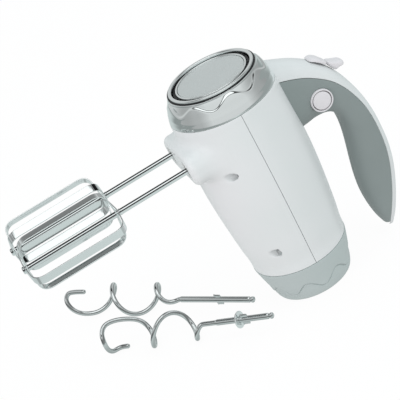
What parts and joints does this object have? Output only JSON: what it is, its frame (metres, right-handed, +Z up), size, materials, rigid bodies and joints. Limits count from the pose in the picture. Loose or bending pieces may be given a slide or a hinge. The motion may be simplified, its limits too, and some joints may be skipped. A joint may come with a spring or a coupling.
{
  "type": "electric hand mixer",
  "caption": "Upright electric hand mixer with an open handle, strip-wire beaters fitted in the nose, and loose spiral dough hooks beside its flat heel.",
  "frame": {"origin": "middle of the heel's flat foot, which the mixer stands on", "axes": "+Z up along the barrel; -X is the nose and the beaters' direction; +X is the handle; the barrel and handle are mirrored about Y = 0"},
  "size_m": [0.3038, 0.1998, 0.2008],
  "materials": {
    "body_white": "moulded, satin gloss",
    "grip_grey": "soft-touch matt",
    "heel_grey": "fine satin",
    "chrome": "polished",
    "brushed_plate": "fine brushed",
    "control_pale": "satin",
    "dark_plastic": "moulded",
    "cord_rubber": "matt",
    "steel": "machined",
    "laminated_iron": "stacked laminations",
    "copper": "enamelled copper wire and bars",
    "brass": "sintered",
    "carbon": "pressed carbon",
    "zinc_casting": "die cast",
    "gear_nylon": "moulded nylon"
  },
  "bodies": {
    "housing": {"nose_side_shell": "body_white", "handle_side_shell": "body_white", "front_trim_ring": "chrome", "vent_cap": "dark_plastic", "emblem_ring": "chrome", "emblem_plate": "brushed_plate", "heel_cap": "heel_grey", "handle_top_cover": "body_white", "grip_left": "grip_grey", "grip_right": "grip_grey", "button_bezel": "control_pale", "switch_block": "dark_plastic", "case_screw_1": "steel", "case_screw_2": "steel", "case_screw_3": "steel", "case_screw_4": "steel", "motor_base_plate": "dark_plastic", "lower_bearing": "steel", "brush_holder_a": "brass", "brush_holder_b": "brass", "carbon_brush_a": "carbon", "carbon_brush_b": "carbon", "stator_core": "laminated_iron", "field_coil_a": "copper", "field_coil_b": "copper", "motor_bracket": "zinc_casting", "upper_bearing": "steel", "gear_frame": "zinc_casting", "worm_bush": "brass", "spindle_bush_near": "brass", "spindle_bush_far": "brass", "eject_spring": "steel", "cord_strain_relief": "cord_rubber", "power_cord": "cord_rubber"},
    "rotor": {"motor_shaft_worm": "steel", "armature_core": "laminated_iron", "armature_winding": "copper", "commutator": "copper", "cooling_fan": "dark_plastic"},
    "gear_near": {"worm_gear_near": "gear_nylon"},
    "gear_far": {"worm_gear_far": "gear_nylon"},
    "pin_near": {"ejector_pin_near": "steel"},
    "pin_far": {"ejector_pin_far": "steel"},
    "beater_near": {"beater_near_shaft": "chrome", "beater_near_loop_a": "chrome", "beater_near_loop_b": "chrome"},
    "beater_far": {"beater_far_shaft": "chrome", "beater_far_loop_a": "chrome", "beater_far_loop_b": "chrome"},
    "ejector": {"ejector_plate": "steel", "ejector_rod": "steel"},
    "eject_key": {"eject_button": "control_pale"},
    "selector": {"speed_selector": "control_pale"},
    "turbo_key": {"turbo_button": "control_pale"},
    "dough_hook_a": {"hook_a_wire": "chrome", "hook_a_shank": "chrome"},
    "dough_hook_b": {"hook_b_wire": "chrome", "hook_b_shank": "chrome", "hook_b_collar": "chrome"}
  },
  "joints": [
    {"name": "armature_spin", "type": "hinge", "parent": "housing", "child": "rotor", "pos_m": [0, 0, 0.1], "axis": [0, 0, 1], "continuous": true},
    {"name": "gear_near_spin", "type": "hinge", "parent": "housing", "child": "gear_near", "pos_m": [0, -0.0195, 0.1491], "axis": [1, 0, 0], "continuous": true},
    {"name": "gear_far_spin", "type": "hinge", "parent": "housing", "child": "gear_far", "pos_m": [0, 0.0195, 0.1491], "axis": [1, 0, 0], "continuous": true},
    {"name": "eject_press", "type": "slide", "parent": "housing", "child": "eject_key", "axis": [-0.75, 0, 0.6614], "range_m": [0, 0.005], "stiffness_N_per_m": 400},
    {"name": "ejector_push", "type": "slide", "parent": "housing", "child": "ejector", "axis": [-1, 0, 0], "range_m": [0, 0.00375], "deforming": ["eject_spring"]},
    {"name": "pin_near_push", "type": "slide", "parent": "gear_near", "child": "pin_near", "axis": [-1, 0, 0], "range_m": [0, 0.00375]},
    {"name": "pin_far_push", "type": "slide", "parent": "gear_far", "child": "pin_far", "axis": [-1, 0, 0], "range_m": [0, 0.00375]},
    {"name": "beater_near_pull", "type": "slide", "parent": "pin_near", "child": "beater_near", "axis": [-1, 0, 0], "range_m": [0, 0.035]},
    {"name": "beater_far_pull", "type": "slide", "parent": "pin_far", "child": "beater_far", "axis": [-1, 0, 0], "range_m": [0, 0.035]},
    {"name": "speed_select", "type": "hinge", "parent": "housing", "child": "selector", "pos_m": [0.045, 0, 0.1218], "axis": [0, 1, 0], "range_deg": [0, 9]},
    {"name": "turbo_press", "type": "slide", "parent": "housing", "child": "turbo_key", "axis": [0, 1, 0], "range_m": [0, 0.0025], "stiffness_N_per_m": 500},
    {"name": "hook_a_lift", "type": "slide", "parent": "housing", "child": "dough_hook_a", "axis": [0, 0, 1], "range_m": [0, 0.1]},
    {"name": "hook_b_lift", "type": "slide", "parent": "housing", "child": "dough_hook_b", "axis": [0, 0, 1], "range_m": [0, 0.1]}
  ],
  "couplings": [
    {"joint": "gear_near_spin", "follows": "armature_spin", "ratio": -0.041667},
    {"joint": "gear_far_spin", "follows": "armature_spin", "ratio": 0.041667},
    {"joint": "ejector_push", "follows": "eject_press", "ratio": 0.75},
    {"joint": "pin_near_push", "follows": "eject_press", "ratio": 0.75},
    {"joint": "pin_far_push", "follows": "eject_press", "ratio": 0.75}
  ]
}
